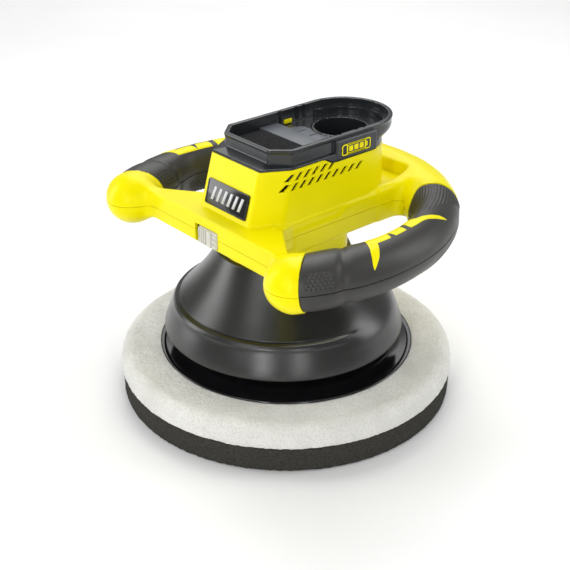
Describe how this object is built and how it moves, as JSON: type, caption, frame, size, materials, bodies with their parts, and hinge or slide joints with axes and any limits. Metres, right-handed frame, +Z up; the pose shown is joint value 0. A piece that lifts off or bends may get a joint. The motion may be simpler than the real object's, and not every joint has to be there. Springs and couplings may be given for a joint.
{
  "type": "polisher",
  "caption": "Cordless car polisher: round foam pad on an orbiting plate, domed shroud, ring-shaped handle with rubber grips and an open battery dock on top.",
  "frame": {"origin": "on the motor axis, in the plane of the foam pad's working face, which is what the tool stands on", "axes": "+Z up along the motor axis, +X the tool's right, -Y its front, where the slide switch is"},
  "size_m": [0.257, 0.2557, 0.2075],
  "materials": {
    "dark_foam": "open-cell foam",
    "pale_foam": "open-cell foam",
    "black_gloss": "glossy moulded plastic",
    "steel": "turned steel",
    "spring_steel": "blackened spring steel",
    "cast_alloy": "die-cast, as cast",
    "black_plastic": "moulded",
    "copper": null,
    "brass": "stamped brass",
    "carbon": "carbon and sintered ferrite",
    "shroud_grey": "satin moulded, fine texture",
    "yellow_plastic": "satin-gloss moulded",
    "grip_rubber": "moulded soft rubber, dimpled at the ends",
    "dock_grey": "satin moulded",
    "floor_grey": "satin moulded",
    "switch_grey": "ribbed moulded",
    "lead_red": "insulated wire",
    "lead_black": "insulated wire"
  },
  "bodies": {
    "root": {"lower_bearing_outer": "steel", "upper_bearing_outer": "steel", "motor_mount": "cast_alloy", "motor_can": "steel", "motor_magnets": "carbon", "motor_end_bell": "black_plastic", "brush_holders": "brass", "carbon_brushes": "carbon", "motor_screws": "steel", "shroud": "shroud_grey", "shroud_screws": "steel", "lower_housing": "yellow_plastic", "upper_housing": "yellow_plastic", "housing_screws": "steel", "grip_upper_right": "grip_rubber", "grip_upper_left": "grip_rubber", "grip_lower_right": "grip_rubber", "grip_lower_left": "grip_rubber", "grip_accents_right": "yellow_plastic", "grip_accents_left": "yellow_plastic", "battery_dock": "dock_grey", "dock_screws": "steel", "dock_floor": "floor_grey", "dock_pad": "grip_rubber", "terminal_block": "black_plastic", "battery_contacts": "brass", "latch_catches": "yellow_plastic", "front_badge": "black_plastic", "side_badges": "black_plastic", "switch_body": "black_plastic", "positive_lead": "lead_red", "negative_lead": "lead_black", "switched_lead": "lead_red"},
    "drive": {"spindle_bearing_outer": "steel", "pocket_clip": "spring_steel", "counterweight": "cast_alloy", "cooling_fan": "black_plastic", "motor_shaft": "steel", "lower_bearing_inner": "steel", "lower_bearing_balls": "steel", "upper_bearing_inner": "steel", "upper_bearing_balls": "steel", "armature_core": "steel", "armature_windings": "copper", "commutator": "copper"},
    "pad": {"cutting_foam": "dark_foam", "support_foam": "pale_foam", "backing_plate": "black_gloss", "plate_screws": "steel", "pad_spindle": "steel", "spindle_bearing_inner": "steel", "spindle_bearing_balls": "steel", "spindle_clip": "spring_steel"},
    "switch": {"switch_slider": "switch_grey"}
  },
  "joints": [
    {"name": "motor_spin", "type": "hinge", "parent": "root", "child": "drive", "pos_m": [0, 0, 0], "axis": [0, 0, 1], "continuous": true},
    {"name": "pad_spin", "type": "hinge", "parent": "drive", "child": "pad", "pos_m": [0, 0.003, 0], "axis": [0, 0, 1], "continuous": true},
    {"name": "switch_slide", "type": "slide", "parent": "root", "child": "switch", "axis": [-1, 0, 0], "range_m": [0, 0.005]}
  ]
}
